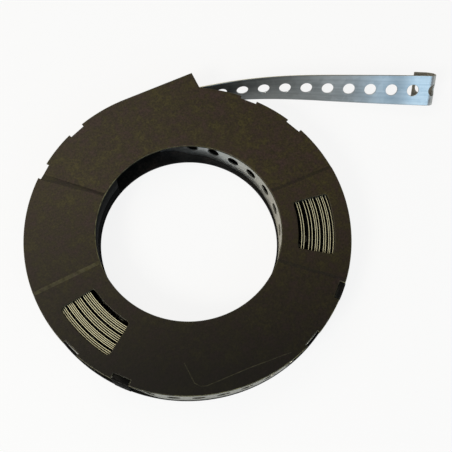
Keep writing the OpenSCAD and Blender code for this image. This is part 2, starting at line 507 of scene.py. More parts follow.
# %% Points of the way
COIL_STEP = 2.5
TAIL_STEPS = 300
TAIL_KEEP = 3
HOOK_STEPS = 36
FIRST_HOLE = 21.3
HOLE_PITCH = 12
TAIL_HOLES = 13
END_SHARE = 0.4
hook_l = math.pi * HOOK_R
flap_l = FIRST_HOLE + (TAIL_HOLES - 1 + END_SHARE) * HOLE_PITCH - TAIL_L - hook_l


def coil_way():
    places, throughs = [], []
    for turned in np.arange(0, last_turned, COIL_STEP):
        angle = math.radians(INNER_END - turned)
        r = coil_radius(turned)
        places.append(np.array((r * math.cos(angle), r * math.sin(angle), MID_Z)))
    for k in range(len(places)):
        step = places[min(k + 1, len(places) - 1)] - places[max(k - 1, 0)]
        step /= np.linalg.norm(step)
        throughs.append(np.array((-step[1], step[0], 0)))
    return places, throughs, [UP] * len(places)


def tail_way():
    places, throughs, acrosses = [], [], []
    root = math.radians(leave_angle)
    spot = np.array((ROOT_R * math.cos(root), ROOT_R * math.sin(root), MID_Z))
    for k in range(TAIL_STEPS + 1):
        s = TAIL_L * k / TAIL_STEPS
        along, through, across = tail_directions(s)
        if k % TAIL_KEEP == 0:
            places.append(spot + UP * tail_rise * drawn_out(s))
            throughs.append(through)
            acrosses.append(across)
        spot = spot + along * TAIL_L / TAIL_STEPS
    return places, throughs, acrosses


def hook_way(start):
    along, through, across = tail_directions(TAIL_L)
    turns = [math.pi * k / HOOK_STEPS for k in range(1, HOOK_STEPS + 1)]
    places = [start + HOOK_R * (along * math.sin(a) + through * (1 - math.cos(a))) for a in turns]
    throughs = [through * math.cos(a) - along * math.sin(a) for a in turns]
    places.append(places[-1] - along * flap_l)
    throughs.append(-through)
    return places, throughs, [across] * len(places)


coil_part = coil_way()
tail_part = tail_way()
hook_part = hook_way(tail_part[0][-1])
way, way_through, way_across = [np.array(a + b + c) for a, b, c in zip(coil_part, tail_part, hook_part)]
way_length = np.concatenate(([0], np.cumsum(np.linalg.norm(np.diff(way, axis=0), axis=1))))
root_index = len(coil_part[0])
root_s = way_length[root_index]
print("strap:", round(way_length[-1] * MM, 2), "m,", len(way), "points on its way")

# %% [markdown]
# Geometry Nodes can read a path from a mesh that has only points and edges. The two directions are
# stored on its points as attributes.


# %% Way as a mesh of edges
def make_way():
    mesh = bpy.data.meshes.new("strap_way")
    links = [(k, k + 1) for k in range(len(way) - 1)]
    mesh.from_pydata((way * MM).tolist(), links, [])
    for name, values in (("through", way_through), ("across", way_across)):
        layer = mesh.attributes.new(name, "FLOAT_VECTOR", "POINT")
        layer.data.foreach_set("vector", values.astype(np.float32).ravel())
    piece = add_object("strap_way", mesh)
    piece.hide_render = True
    return piece


way_object = make_way()
print("way:", len(way_object.data.edges), "edges")

# %% [markdown]
# ## Galvanised steel
# Zinc on rolled strip shows faint streaks along the rolling direction and soft spangles a few
# millimetres wide. The strap carries an attribute, strap_place, with the distance along it, the place
# through its thickness and the place across its width, so the streaks follow every bend.

# %% Zinc
STREAKS = (18, 900, 900)
SPANGLES = 320
DARK_ZINC = (0.34, 0.37, 0.39, 1)
BRIGHT_ZINC = (0.50, 0.53, 0.55, 1)


def zinc_coat(tree, place):
    rolled = add_node(tree, "ShaderNodeMapping", None, {"Vector": place, "Scale": STREAKS})
    streaks = noise(tree, rolled.outputs[0], 1, 3)
    spangle = add_node(tree, "ShaderNodeTexVoronoi", None, {"Vector": place, "Scale": SPANGLES})
    spangle_grey = add_node(tree, "ShaderNodeSeparateColor", None, {0: spangle.outputs["Color"]})
    uneven = math_node(tree, "MULTIPLY_ADD", spangle_grey.outputs[0], 0.22, streaks)
    zinc = colour_ramp(tree, uneven, (0.30, 0.80), (DARK_ZINC, BRIGHT_ZINC))
    return zinc, uneven, streaks


# %% [markdown]
# The tone changes along the strap. The innermost turns are made brighter, which is a painted
# reflection, but one side of the first turn has gone pale and chalky. The wound strap has yellowed a
# little. The free end is darker at the spout, which is painted shade, lighter towards the hook, which is
# a painted reflection, and darker again in a patch before the hook, which is painted shade; on the hook
# it is duller. All these distances are in metres, as the attribute is.

# %% Tones along the strap
YELLOWED = (1.0, 0.93, 0.78, 1)
CHALK = (0.34, 0.31, 0.24, 1)
CHALK_MOST = 0.6
HOOK_DULL = (0.27, 0.25, 0.21, 1)
spout_at = root_s * MM
hook_at = (root_s + TAIL_L) * MM


def strap_tones(tree, along, zinc):
    # Painted reflection: the innermost turns are brighter.
    painted_inner_shine = map_range(tree, along, 0.25, 1.2, 1.75, 1.0)
    # Painted shade and reflection: darker at the spout, lighter towards the hook, with a darker patch
    # before it.
    free_end = map_range(tree, along, spout_at + 0.03, hook_at, 0.66, 1.2)
    from_shade_patch = math_node(tree, "ABSOLUTE", math_node(tree, "SUBTRACT", along, hook_at - 0.017))
    painted_shade_patch = map_range(tree, from_shade_patch, 0, 0.011, 0.66, 1, "SMOOTHSTEP")
    painted_light_tone = math_node(tree, "MULTIPLY", math_node(tree, "MULTIPLY", painted_inner_shine, free_end), painted_shade_patch)
    yellowing = map_range(tree, along, 0.02, 0.1)
    drawn_clean = map_range(tree, along, spout_at - 0.08, spout_at)
    yellowed = math_node(tree, "SUBTRACT", yellowing, drawn_clean)
    tint = mix_colour(tree, yellowed, grey(1), YELLOWED)
    toned = scale_vector(tree, vector_math(tree, "MULTIPLY", zinc, tint)[0], painted_light_tone)
    chalky_from = map_range(tree, along, 0.05, 0.11, 0, CHALK_MOST)
    chalky_to = map_range(tree, along, 0.2, 0.28, CHALK_MOST, 0)
    chalky = math_node(tree, "MINIMUM", chalky_from, chalky_to)
    hooked = map_range(tree, along, hook_at + 0.003, hook_at + 0.009)
    colour = mix_colour(tree, hooked, mix_colour(tree, chalky, toned, CHALK), HOOK_DULL)
    return colour, math_node(tree, "MAXIMUM", hooked, chalky)


# %% [markdown]
# The sheared edges are a thin, dull, pale line, which is a painted highlight on the bare cut, with a
# dark border at both sides, which is painted shade. On the wound turns the faces next to the edges are
# darkened too, as painted shade between the turns. Where the surface is dull, it is also less metallic.

# %% Steel material
EDGE = 0.22
PALE_EDGE = 0.1
PALE_FADE = 0.05
TURN_GAP_SHADE_W = 1.5
EDGE_HIGHLIGHT_LINE = (0.90, 0.85, 0.58, 1)
EDGE_BORDER_SHADE = grey(0.01)
TURN_GAP_SHADE = grey(0.008)
UNSHADED_ENDS = 0.55
DULL_METAL = 0.3
SHEAR_FROM = STRAP_W / 2 - EDGE


def make_steel():
    material, tree = new_material("galvanised_strap")
    place = attribute(tree, "strap_place", "Vector")
    parts = split(tree, place)
    zinc, uneven, streaks = zinc_coat(tree, place)
    face_colour, matt = strap_tones(tree, parts["X"], zinc)
    outward = math_node(tree, "ABSOLUTE", parts["Z"])
    sideways = math_node(tree, "ABSOLUTE", parts["Y"])
    sheared = map_range(tree, outward, SHEAR_FROM * MM, STRAP_W / 2 * MM)
    # Painted highlight in the middle of the sheared edge, painted shade at its two borders.
    border_mask = map_range(tree, sideways, PALE_EDGE * MM, (PALE_EDGE + PALE_FADE) * MM)
    edge_colour = mix_colour(tree, border_mask, EDGE_HIGHLIGHT_LINE, EDGE_BORDER_SHADE)
    # Painted shade between the wound turns, near their edges.
    wound = math_node(tree, "COMPARE", parts["X"], spout_at / 2, spout_at / 2 - UNSHADED_ENDS)
    near_edge = map_range(tree, outward, (SHEAR_FROM - TURN_GAP_SHADE_W) * MM, SHEAR_FROM * MM)
    gap_shaded_colour = mix_colour(tree, math_node(tree, "MULTIPLY", wound, near_edge), face_colour, TURN_GAP_SHADE)
    bare_line = math_node(tree, "MULTIPLY_ADD", border_mask, -1.0, sheared)
    dull = math_node(tree, "MAXIMUM", bare_line, matt)
    finish = {
        "Base Color": mix_colour(tree, sheared, gap_shaded_colour, edge_colour),
        "Metallic": map_range(tree, dull, 0, 1, 1, DULL_METAL),
        "Roughness": map_range(tree, uneven, 0.2, 0.9, 0.26, 0.40),
        "Normal": bump(tree, 0.12, 0.00004, streaks),
    }
    end_material(tree, add_node(tree, "ShaderNodeBsdfPrincipled", None, finish))
    return material


steel = make_steel()
print("steel:", steel.name)

# %% [markdown]
# ## One punched cell
# The strip repeats every 12 mm: a rectangle with a round hole, both long edges slightly rounded off. We
# model one cell as rings of points between the hole and the outline. The coil takes a coarse
# cell, because it holds some 800 of them, and the free end takes a fine one with rounded hole rims.
# Boolean cuts could make the holes too, but hundreds of them are slow and leave thin, uneven faces.

# %% Punched cell
HOLE_D = 6.5


def cell_outline(ends, sides, half_l, half_w):
    right = [(half_l, half_w * (2 * k / ends - 1)) for k in range(ends)]
    top = [(half_l * (1 - 2 * k / sides), half_w) for k in range(sides)]
    return right + top + [(-x, -w) for x, w in right + top]


def punched_cell(name, ends, sides, rings, rim):
    half_w = STRAP_W / 2
    half_t = STRAP_T / 2
    hole_r = HOLE_D / 2
    outline = cell_outline(ends, sides, HOLE_PITCH / 2, half_w - EDGE)
    around = len(outline)
    turns = [2 * math.pi * (j - ends / 2) / around for j in range(around)]
    mesh = bmesh.new()

    def point(x, t, w):
        return mesh.verts.new((x * MM, t * MM, w * MM))

    def strip(a, b):
        for j in range(len(a) - 1):
            mesh.faces.new((a[j], a[j + 1], b[j + 1], b[j]))

    levels = {}
    for t in (-half_t, half_t):
        for ring in range(rings + 1):
            f = ring / rings
            row = []
            for (x, w), turn in zip(outline, turns):
                hole_x = (hole_r + rim) * math.cos(turn)
                hole_w = (hole_r + rim) * math.sin(turn)
                row.append(point(hole_x + (x - hole_x) * f, t, hole_w + (w - hole_w) * f))
            levels[t, ring] = row
        for ring in range(rings):
            inner, outer = levels[t, ring], levels[t, ring + 1]
            strip(inner + inner[:1], outer + outer[:1])
    wall = [levels[-half_t, 0], levels[half_t, 0]]
    if rim > 0:
        for t in (half_t - rim, rim - half_t):
            wall.insert(1, [point(hole_r * math.cos(turn), t, hole_r * math.sin(turn)) for turn in turns])
    for a, b in zip(wall, wall[1:]):
        strip(a + a[:1], b + b[:1])
    for first, w in ((ends, half_w), (2 * ends + sides, -half_w)):
        picks = [(first + k) % around for k in range(sides + 1)]
        low = [levels[-half_t, rings][j] for j in picks]
        high = [levels[half_t, rings][j] for j in picks]
        low_edge = [point(outline[j][0], EDGE - half_t, w) for j in picks]
        high_edge = [point(outline[j][0], half_t - EDGE, w) for j in picks]
        for a, b in ((low, low_edge), (low_edge, high_edge), (high_edge, high)):
            strip(a, b)
    data = bpy.data.meshes.new(name)
    mesh.to_mesh(data)
    mesh.free()
    piece = add_object(name, data)
    piece.hide_render = True
    return piece


coarse_cell = punched_cell("coarse_cell", 4, 4, 1, 0)
fine_cell = punched_cell("fine_cell", 4, 20, 5, 0.1)
print("cells:", len(coarse_cell.data.polygons), "and", len(fine_cell.data.polygons), "faces")

# %% [markdown]
# ## The strap by Geometry Nodes
# A line of points, one for each hole, carries a copy of the cell. The copies are merged into a flat
# strip, and every point of the strip then looks up its place on the way: its X is the distance along,
# and its Y and Z are laid off along the two stored directions. This is how a long strip can follow any
# path without stretching.

# %% Flat strip
MERGE = 0.00002


def flat_strip(tree, given):
    start = add_node(tree, "ShaderNodeCombineXYZ", None, {"X": given["First hole"]})
    step = add_node(tree, "ShaderNodeCombineXYZ", None, {"X": given["Hole pitch"]})
    row = add_node(
        tree, "GeometryNodeMeshLine", None,
        {"Count": given["Holes"], "Start Location": start.outputs[0], "Offset": step.outputs[0]},
    )
    cell = add_node(tree, "GeometryNodeObjectInfo", None, {"Object": given["Cell"]})
    copies = add_node(
        tree, "GeometryNodeInstanceOnPoints", None,
        {"Points": row.outputs[0], "Instance": cell.outputs["Geometry"], "Scale": given["Cell stretch"]},
    )
    solid = add_node(tree, "GeometryNodeRealizeInstances", None, {0: copies.outputs[0]})
    merge = {"Geometry": solid.outputs[0], "Distance": MERGE}
    return add_node(tree, "GeometryNodeMergeByDistance", None, merge).outputs[0]


# %% Place on the way
def place_on_way(tree, given, flat):
    parts = split(tree, flat)
    inside = math_node(tree, "MINIMUM", parts["X"], given["Length"])
    path = add_node(tree, "GeometryNodeObjectInfo", None, {"Object": given["Way"]})
    curve = add_node(tree, "GeometryNodeMeshToCurve", None, {0: path.outputs["Geometry"]})
    sampling = {"data_type": "FLOAT_VECTOR", "mode": "LENGTH", "use_all_curves": True}
    placed = None
    for name, amount in (("through", parts["Y"]), ("across", parts["Z"])):
        direction = add_node(
            tree, "GeometryNodeInputNamedAttribute", {"data_type": "FLOAT_VECTOR"}, {"Name": name}
        )
        looked_up = add_node(
            tree, "GeometryNodeSampleCurve", sampling,
            {"Curves": curve.outputs[0], "Value": direction.outputs[0], "Length": inside},
        )
        unit = vector_math(tree, "NORMALIZE", looked_up.outputs["Value"])[0]
        base = placed or looked_up.outputs["Position"]
        placed = vector_math(tree, "ADD", base, scale_vector(tree, unit, amount))[0]
    return placed


# %% [markdown]
# The tree gets named inputs, so that the coil and the free end can share it with other sizes. The flat
# place of every point is kept as an attribute before the strip is bent, for the material.

# %% Strap tree
TREE_INPUTS = (
    ("Way", "Object"), ("Cell", "Object"), ("Holes", "Int"), ("First hole", "Float"),
    ("Hole pitch", "Float"), ("Cell stretch", "Vector"), ("Length", "Float"), ("Finish", "Material"),
)


def make_strap_tree():
    tree = bpy.data.node_groups.new("punched_strap", "GeometryNodeTree")
    tree.interface.new_socket("Geometry", in_out="OUTPUT", socket_type="NodeSocketGeometry")
    for name, kind in TREE_INPUTS:
        tree.interface.new_socket(name, in_out="INPUT", socket_type="NodeSocket" + kind)
    given = add_node(tree, "NodeGroupInput").outputs
    strip = flat_strip(tree, given)
    flat = add_node(tree, "GeometryNodeInputPosition").outputs[0]
    kept = add_node(
        tree, "GeometryNodeStoreNamedAttribute", {"data_type": "FLOAT_VECTOR", "domain": "POINT"},
        {"Geometry": strip, "Name": "strap_place", "Value": flat},
    )
    placed = place_on_way(tree, given, flat)
    bent = add_node(
        tree, "GeometryNodeSetPosition", None, {"Geometry": kept.outputs[0], "Position": placed}
    )
    real = add_node(tree, "GeometryNodeRealizeInstances", None, {0: bent.outputs[0]})
    finished = add_node(
        tree, "GeometryNodeSetMaterial", None, {"Geometry": real.outputs[0], "Material": given["Finish"]}
    )
    add_node(tree, "NodeGroupOutput", None, {0: finished.outputs[0]})
    return tree


strap_tree = make_strap_tree()
print("strap tree:", len(strap_tree.nodes), "nodes")

# %% [markdown]
# A modifier runs the tree on an empty carrier object. Its inputs are set by their identifiers, and the
# evaluated result is turned into a plain mesh.


# %% Bake a tree
def bake(name, tree, values):
    carrier = add_object(name + "_carrier", bpy.data.meshes.new(name + "_carrier"))
    modifier = carrier.modifiers.new(name, "NODES")
    modifier.node_group = tree
    for item in tree.interface.items_tree:
        if item.in_out == "INPUT" and item.name in values:
            modifier[item.identifier] = values[item.name]
    graph = bpy.context.evaluated_depsgraph_get()
    mesh = bpy.data.meshes.new_from_object(carrier.evaluated_get(graph))
    carrier.modifiers.clear()
    bpy.data.objects.remove(carrier)
    return mesh


# %% [markdown]
# The coil's cells start at the seam with the free end and are counted inwards. Their pitch is changed by
# less than a thousandth, so that one hole falls where the photo shows it on the innermost turn.

# %% Coil and free end
INNER_HOLE = 63.3
seam_s = root_s + FIRST_HOLE - HOLE_PITCH / 2
inner_place = (INNER_END - INNER_HOLE) / COIL_STEP
inner_hole_s = np.interp(inner_place, range(root_index), way_length[:root_index])
inner_count = round((seam_s - inner_hole_s) / HOLE_PITCH + 0.5)
coil_pitch = (seam_s - inner_hole_s) / (inner_count - 0.5)
coil_holes = int(seam_s / coil_pitch)
coil_values = {
    "Way": way_object, "Cell": coarse_cell, "Holes": coil_holes, "Hole pitch": coil_pitch * MM,
    "First hole": (seam_s - (coil_holes - 0.5) * coil_pitch) * MM,
    "Cell stretch": (coil_pitch / HOLE_PITCH, 1, 1), "Length": way_length[-1] * MM, "Finish": steel,
}
tail_values = dict(coil_values)
tail_values.update({
    "Cell": fine_cell, "Holes": TAIL_HOLES, "Hole pitch": HOLE_PITCH * MM,
    "First hole": (root_s + FIRST_HOLE) * MM, "Cell stretch": (1, 1, 1),
})
coil_mesh = bake("coil", strap_tree, coil_values)
tail_mesh = bake("free_end", strap_tree, tail_values)
print("coil:", coil_holes, "holes at", round(coil_pitch, 4), "mm")
print("faces:", len(coil_mesh.polygons), "and", len(tail_mesh.polygons))

# %% [markdown]
# The two lengths become one mesh. Both cells have the same points on their short sides, so the seam
# closes when doubles are merged, and each cut end of the strap is closed with a face.

# %% One strap
STRAP_SMOOTH = 30


def smooth_by_angle(mesh, degrees):
    mesh.polygons.foreach_set("use_smooth", [True] * len(mesh.polygons))
    mesh.set_sharp_from_angle(angle=math.radians(degrees))


def add_piece(name, mesh, node):
    piece = add_object(name, mesh)
    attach(piece, "root")
    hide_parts(node)
    return piece


def open_edges(shape):
    return [e for e in shape.edges if len(e.link_faces) != 2]


def shape_to_mesh(name, shape, material):
    bmesh.ops.recalc_face_normals(shape, faces=shape.faces)
    volume = round(shape.calc_volume() / MM ** 3)
    print(name, "open edges", len(open_edges(shape)), "volume", volume, "mm3")
    mesh = bpy.data.meshes.new(name)
    shape.to_mesh(mesh)
    shape.free()
    mesh.materials.clear()
    mesh.materials.append(material)
    return mesh


def join_strap():
    shape = bmesh.new()
    shape.from_mesh(coil_mesh)
    shape.from_mesh(tail_mesh)
    bmesh.ops.remove_doubles(shape, verts=shape.verts, dist=MERGE)
    bmesh.ops.holes_fill(shape, edges=open_edges(shape), sides=0)
    mesh = shape_to_mesh("strap_dressed", shape, steel)
    smooth_by_angle(mesh, STRAP_SMOOTH)
    return mesh


strap = add_piece("perforated_strap", join_strap(), "strap")
for helper in (way_object, coarse_cell, fine_cell):
    bpy.data.objects.remove(helper)
print("strap triangles:", sum(len(p.vertices) - 2 for p in strap.data.polygons))

# %% [markdown]
# ## Shells as outlines with rounded edges
# Each shell is a thin plate. We write its outlines as closed rows of points: the rim with notches and
# spout, the open middle and the windows. The flat face between them is filled by a constrained
# triangulation, which respects the creases of the raised panels. Boolean cuts and a Bevel modifier could
# do the same, but the wear and the painted highlight on the edges need rows of points of their own, so
# the edges are built row by row.


# %% Filling between outlines
def turned_point(r, degrees):
    a = math.radians(degrees)
    return np.array((r * math.cos(a), r * math.sin(a)))


def inward(loop):
    before = loop - np.roll(loop, 1, axis=0)
    after = np.roll(loop, -1, axis=0) - loop
    left = []
    for step in (before, after):
        step = step / np.linalg.norm(step, axis=1)[:, None]
        left.append(np.column_stack((-step[:, 1], step[:, 0])))
    dot = (left[0] * left[1]).sum(axis=1)[:, None]
    return (left[0] + left[1]) / (1 + np.maximum(dot, -0.5))


def inside_loop(points, loop):
    hit = np.zeros(len(points), bool)
    ahead = np.roll(loop, -1, axis=0)
    for (x0, y0), (x1, y1) in zip(loop, ahead):
        if y0 == y1:
            continue
        between = (y0 > points[:, 1]) != (y1 > points[:, 1])
        cross = x0 + (points[:, 1] - y0) * (x1 - x0) / (y1 - y0)
        hit ^= between & (points[:, 0] < cross)
    return hit


def fill_plan(loops, creases):
    flat = np.concatenate(loops)
    starts = np.cumsum([0] + [len(loop) for loop in loops])
    edges = list(creases)
    for first, loop in zip(starts, loops):
        edges += [(int(first + k), int(first + (k + 1) % len(loop))) for k in range(len(loop))]
    result = delaunay_2d_cdt([Vector(p) for p in flat], edges, [], 0, 1e-7)
    faces = np.array([f for f in result[2] if len(f) == 3])
    source = [ids[0] for ids in result[3]]
    middles = flat[np.array(source)][faces].mean(axis=1)
    keep = inside_loop(middles, loops[0])
    for loop in loops[1:]:
        keep &= ~inside_loop(middles, loop)
    return [[source[k] for k in face] for face in faces[keep]]


# %% [markdown]
# Every outline gets a profile, a list of steps inwards and heights, which makes the rounded edges and
# the wall. While the plate is built, each point takes its edge wear and painted edge highlight, and each
# sloping face its painted highlight or its painted shade.

# %% Plate builder
SLOPE_HIGHLIGHT = 0.17
SLOPE_SHADE = -0.5
SLOPE_LEAST = 0.05


def plate(shape, wear_and_light_layer, loops, profile, creases, height, wear_and_light_share):
    insets = [inward(loop) for loop in loops]
    faces = fill_plan([loop + into * profile[0][0] for loop, into in zip(loops, insets)], creases)
    top_points, bottom_points = [], []
    for loop, into in zip(loops, insets):
        rows = []
        for step, level, rise, worn_or_lit in profile:
            row = []
            for x, y in loop + into * step:
                vertex = shape.verts.new((x * MM, y * MM, (level + rise * height(x, y)) * MM))
                vertex[wear_and_light_layer] = worn_or_lit * wear_and_light_share(x, y)
                row.append(vertex)
            rows.append(row)
        for upper, lower in zip(rows, rows[1:]):
            for k in range(len(loop)):
                ahead = (k + 1) % len(loop)
                shape.faces.new((upper[k], lower[k], lower[ahead], upper[ahead]))
        top_points += rows[0]
        bottom_points += rows[-1]
    slope = shape.faces.layers.float[SLOPE_LIGHT_AND_SHADE]
    for a, b, c in faces:
        top = shape.faces.new((top_points[a], top_points[b], top_points[c]))
        top.normal_update()
        if abs(top.normal.y) > SLOPE_LEAST:
            # Painted highlight on the slopes at the left that face towards -y, painted shade on all other
            # slopes.
            lit_or_worn = top.normal.y < 0 and top.calc_center_median().x < 0
            top[slope] = SLOPE_HIGHLIGHT if lit_or_worn else SLOPE_SHADE
        shape.faces.new((bottom_points[c], bottom_points[b], bottom_points[a]))


# %% [markdown]
# A shell starts as an empty shape with its two attributes. At its end the sharp creases of the panels
# are marked, because smooth shading would hide them.

# %% Start and end of a shell
SHELL_SMOOTH = 50
FLAT_UP = 0.95
CREASE_LEAST = 0.05


def new_shell():
    shape = bmesh.new()
    wear_and_light_layer = shape.verts.layers.float.new(EDGE_WEAR_AND_LIGHT)
    shape.faces.layers.float.new(SLOPE_LIGHT_AND_SHADE)
    return shape, wear_and_light_layer


def sharpen_creases(mesh):
    faces_at = {}
    for face in mesh.polygons:
        if face.normal.z > FLAT_UP:
            for key in face.edge_keys:
                faces_at.setdefault(key, []).append(face.normal)
    for edge in mesh.edges:
        sides = faces_at.get(edge.key, [])
        if len(sides) == 2 and sides[0].angle(sides[1]) > CREASE_LEAST:
            edge.use_edge_sharp = True


def finish_shell(name, shape, material):
    mesh = shape_to_mesh(name, shape, material)
    smooth_by_angle(mesh, SHELL_SMOOTH)
    sharpen_creases(mesh)
    return mesh


# %% [markdown]
# ### Raised panels
# Each panel lies between two lines from the open middle to the rim, and slopes up along them. The
# outlines get extra points where these lines meet them.

# %% Panels
FRONT_OPEN_R = 47
# each panel lies between two lines, and each line has its angles at the rim and at the open middle
PANELS = (((-44.8, -46.5), (0.8, 2.7)), ((132.9, 130.2), (179.3, 177.3)))
PANEL_STEP = 0.4
RAMP = 1.8
ARC_STEP = 1.2
MARK_CLEAR = 0.4


def apart(a, b):
    return abs((a - b + 180) % 360 - 180)


def panel_edges(r):
    ramp = math.degrees(math.asin(RAMP / r))
    end = 0 if r == CASE_R else 1
    edges = [(low[end], low[end] + ramp, high[end] - ramp, high[end]) for low, high in PANELS]
    return [a % 360 for four in edges for a in four]


def circle_angles(r):
    number = round(360 * math.radians(1) * r / ARC_STEP)
    marks = panel_edges(r)
    even = [360 * k / number for k in range(number)]
    kept = [a for a in even if all(apart(a, m) > MARK_CLEAR * 360 / number for m in marks)]
    return sorted(kept + marks)


def past_line(x, y, line):
    rim_end = turned_point(CASE_R, line[0])
    inner_end = turned_point(FRONT_OPEN_R, line[1])
    run = (rim_end - inner_end) / np.linalg.norm(rim_end - inner_end)
    return (y - inner_end[1]) * run[0] - (x - inner_end[0]) * run[1]


def panel_height(x, y):
    rise = 0
    for low, high in PANELS:
        middle_side = turned_point(1, (low[0] + high[0]) / 2)
        if middle_side[0] * x + middle_side[1] * y > 0:
            rise = max(rise, min(past_line(x, y, low), -past_line(x, y, high), RAMP) / RAMP)
    return PANEL_STEP * rise


print("panel edges at the rim:", [round(a, 1) for a in panel_edges(CASE_R)])

# %% [markdown]
# ### Outlines
# The rim is a circle with eight notches and a spout that leaves it along a tangent. Every point is kept
# with an angle that only sets its order round the rim.

# %% Outlines of the shells
BORE_R = 46.5
NOTCH_W = 9
NOTCH_D = 1.6
NOSE_L = 1.2
GAP = 0.2
OPEN_NOTCHES = (21.7, 41.7, 111.7, 131.7, 201.7, 291.7)
CLIPS = (221.7, 311.7)
STOP_CLEAR = 0.45
NOTCH_ORDER = 0.1
SPOUT_ORDER = 0.01
SPOUT_POINTS = 20
spout_corner = math.degrees(math.acos(SPOUT_L / CASE_R))


def notch_points(turn, depth, half):
    along = turned_point(1, turn)
    side = np.array((-along[1], along[0]))
    deep = CASE_R - depth
    edge_r = CASE_R * math.cos(math.radians(half))
    plan = ((edge_r, -1), (deep, -1), (deep, -0.33), (deep, 0.33), (deep, 1), (edge_r, 1))
    points = [along * r + side * w * NOTCH_W / 2 for r, w in plan]
    return [(turn + (k - 2.5) * NOTCH_ORDER, place) for k, place in enumerate(points)]


def spout_points():
    corner_y = math.sqrt(CASE_R ** 2 - SPOUT_L ** 2)
    points = [(SPOUT_L, corner_y + (CASE_R - corner_y) * f) for f in (0, 0.33, 0.67)]
    points += [(SPOUT_L * (1 - k / SPOUT_POINTS), CASE_R) for k in range(SPOUT_POINTS + 1)]
    return [(spout_corner + k * SPOUT_ORDER, np.array(place)) for k, place in enumerate(points)]


def rim_outline(notches):
    half = math.degrees(math.asin(NOTCH_W / 2 / CASE_R))
    stops = [(spout_corner, 90)] + [(a - half, a + half) for a, depth in notches]
    points = spout_points()
    for a in circle_angles(CASE_R):
        if not any(low - STOP_CLEAR < a < high + STOP_CLEAR for low, high in stops):
            points.append((a, turned_point(CASE_R, a)))
    for a, depth in notches:
        points += notch_points(a, depth, half)
    points.sort(key=lambda pair: pair[0])
    return np.array([place for a, place in points])


def circle_hole(r):
    return np.array([turned_point(r, a) for a in reversed(circle_angles(r))])


clip_depth = NOTCH_D + NOSE_L + GAP
notches = [(a, NOTCH_D) for a in OPEN_NOTCHES] + [(a, clip_depth) for a in CLIPS]
front_rim = rim_outline(notches)
back_rim = rim_outline([])
front_middle = circle_hole(FRONT_OPEN_R)
back_middle = circle_hole(BORE_R)
print("outline points:", len(front_rim), len(back_rim), len(front_middle), len(back_middle))

# %% [markdown]
# The two windows are the same shape, turned round the middle: two arcs, two straight sides towards the
# middle and four rounded corners.

# %% Windows
WINDOW_RIM = 8.7
WINDOW_H = 18.4
WINDOW_SPAN = 25.8
WINDOW_CORNER = 1.6
ARC_SHARES = 0.95


def window_outline(turn):
    c = WINDOW_CORNER
    out_r = CASE_R - WINDOW_RIM
    in_r = out_r - WINDOW_H
    half = WINDOW_SPAN / 2
    in_a = half - math.degrees(math.asin(c / (in_r + c)))
    out_a = half - math.degrees(math.asin(c / (out_r - c)))
    # each corner: the radius and angle of its centre, the angles where its arc starts and ends
    corners = (
        (out_r - c, out_a, out_a, half + 90), (in_r + c, in_a, half + 90, in_a + 180),
        (in_r + c, -in_a, 180 - in_a, 270 - half), (out_r - c, -out_a, 270 - half, 360 - out_a),
    )
    points = [turned_point(out_r, out_a * f) for f in np.linspace(-ARC_SHARES, ARC_SHARES, 22)]
    for number, (r, a, low, high) in enumerate(corners):
        centre = turned_point(r, a)
        points += [centre + turned_point(c, low + (high - low) * f) for f in np.linspace(0, 1, 7)]
        if number == 1:
            points += [turned_point(in_r, -in_a * f) for f in np.linspace(-ARC_SHARES, ARC_SHARES, 18)]
    cos, sin = turned_point(1, turn)
    return (np.array(points) @ np.array(((cos, sin), (-sin, cos))))[::-1]


windows = [window_outline(a) for a in (RIGHT_WINDOW, LEFT_WINDOW)]
print("window points:", len(windows[0]))

# %% [markdown]
# ### Walls, clips and bead
# These are all lofts: closed rows of points, joined by faces and closed at both ends. A curved block
# follows the rim or the middle, a straight one stands in a notch, and the bead follows a path on the
# plate.

# %% Blocks
ARC_SOFT = 0.15
NOTCH_SOFT = 0.12
BEAD_SECTION = ((-0.5, 0), (0.5, 0), (0.2, 1), (-0.2, 1))
BEAD_WEAR = 0.12


def loft(shape, rows):
    corners = [[shape.verts.new([v * MM for v in point]) for point in row] for row in rows]
    for a, b in zip(corners, corners[1:]):
        for k in range(len(a)):
            ahead = (k + 1) % len(a)
            shape.faces.new((a[k], a[ahead], b[ahead], b[k]))
    shape.faces.new(corners[0])
    shape.faces.new(corners[-1])
    return corners


def arc_block(shape, r_in, r_out, low, high, bottom, top):
    steps = max(3, round((high - low) / 2))
    soft = ARC_SOFT
    ring = (
        (r_in + soft, top), (r_in, top - soft), (r_in, bottom + soft), (r_in + soft, bottom),
        (r_out - soft, bottom), (r_out, bottom + soft), (r_out, top - soft), (r_out - soft, top),
    )
    angles = [low + (high - low) * k / steps for k in range(steps + 1)]
    loft(shape, [[(*turned_point(r, a), z) for r, z in ring] for a in angles])


def notch_block(shape, turn, r_in, r_out, width, bottom, top, aside=0):
    soft = NOTCH_SOFT
    along = turned_point(1, turn)
    side = np.array((-along[1], along[0]))
    rows = []
    for inset, z in ((soft, bottom), (0, bottom + soft), (0, top - soft), (soft, top)):
        w = width / 2 - inset
        plan = ((r_in + inset, -w), (r_out - inset, -w), (r_out - inset, w), (r_in + inset, w))
        rows.append([(*(along * r + side * (s + aside)), z) for r, s in plan])
    loft(shape, rows)


def bead(shape, wear_and_light_layer, path, width, bottom, top):
    path = np.array([turned_point(r, a) for r, a in path])
    rows = []
    for k in range(len(path)):
        run = path[min(k + 1, len(path) - 1)] - path[max(k - 1, 0)]
        side = np.array((-run[1], run[0])) / np.linalg.norm(run)
        rows.append([(*(path[k] + side * width * w), top if up else bottom) for w, up in BEAD_SECTION])
    for row in loft(shape, rows):
        for vertex in row:
            vertex[wear_and_light_layer] = BEAD_WEAR


# %% [markdown]
# ### Edges of the plates
# The edges are rounded in two steps. They are lightened a little all round as wear, and two stretches
# more, as a painted highlight.

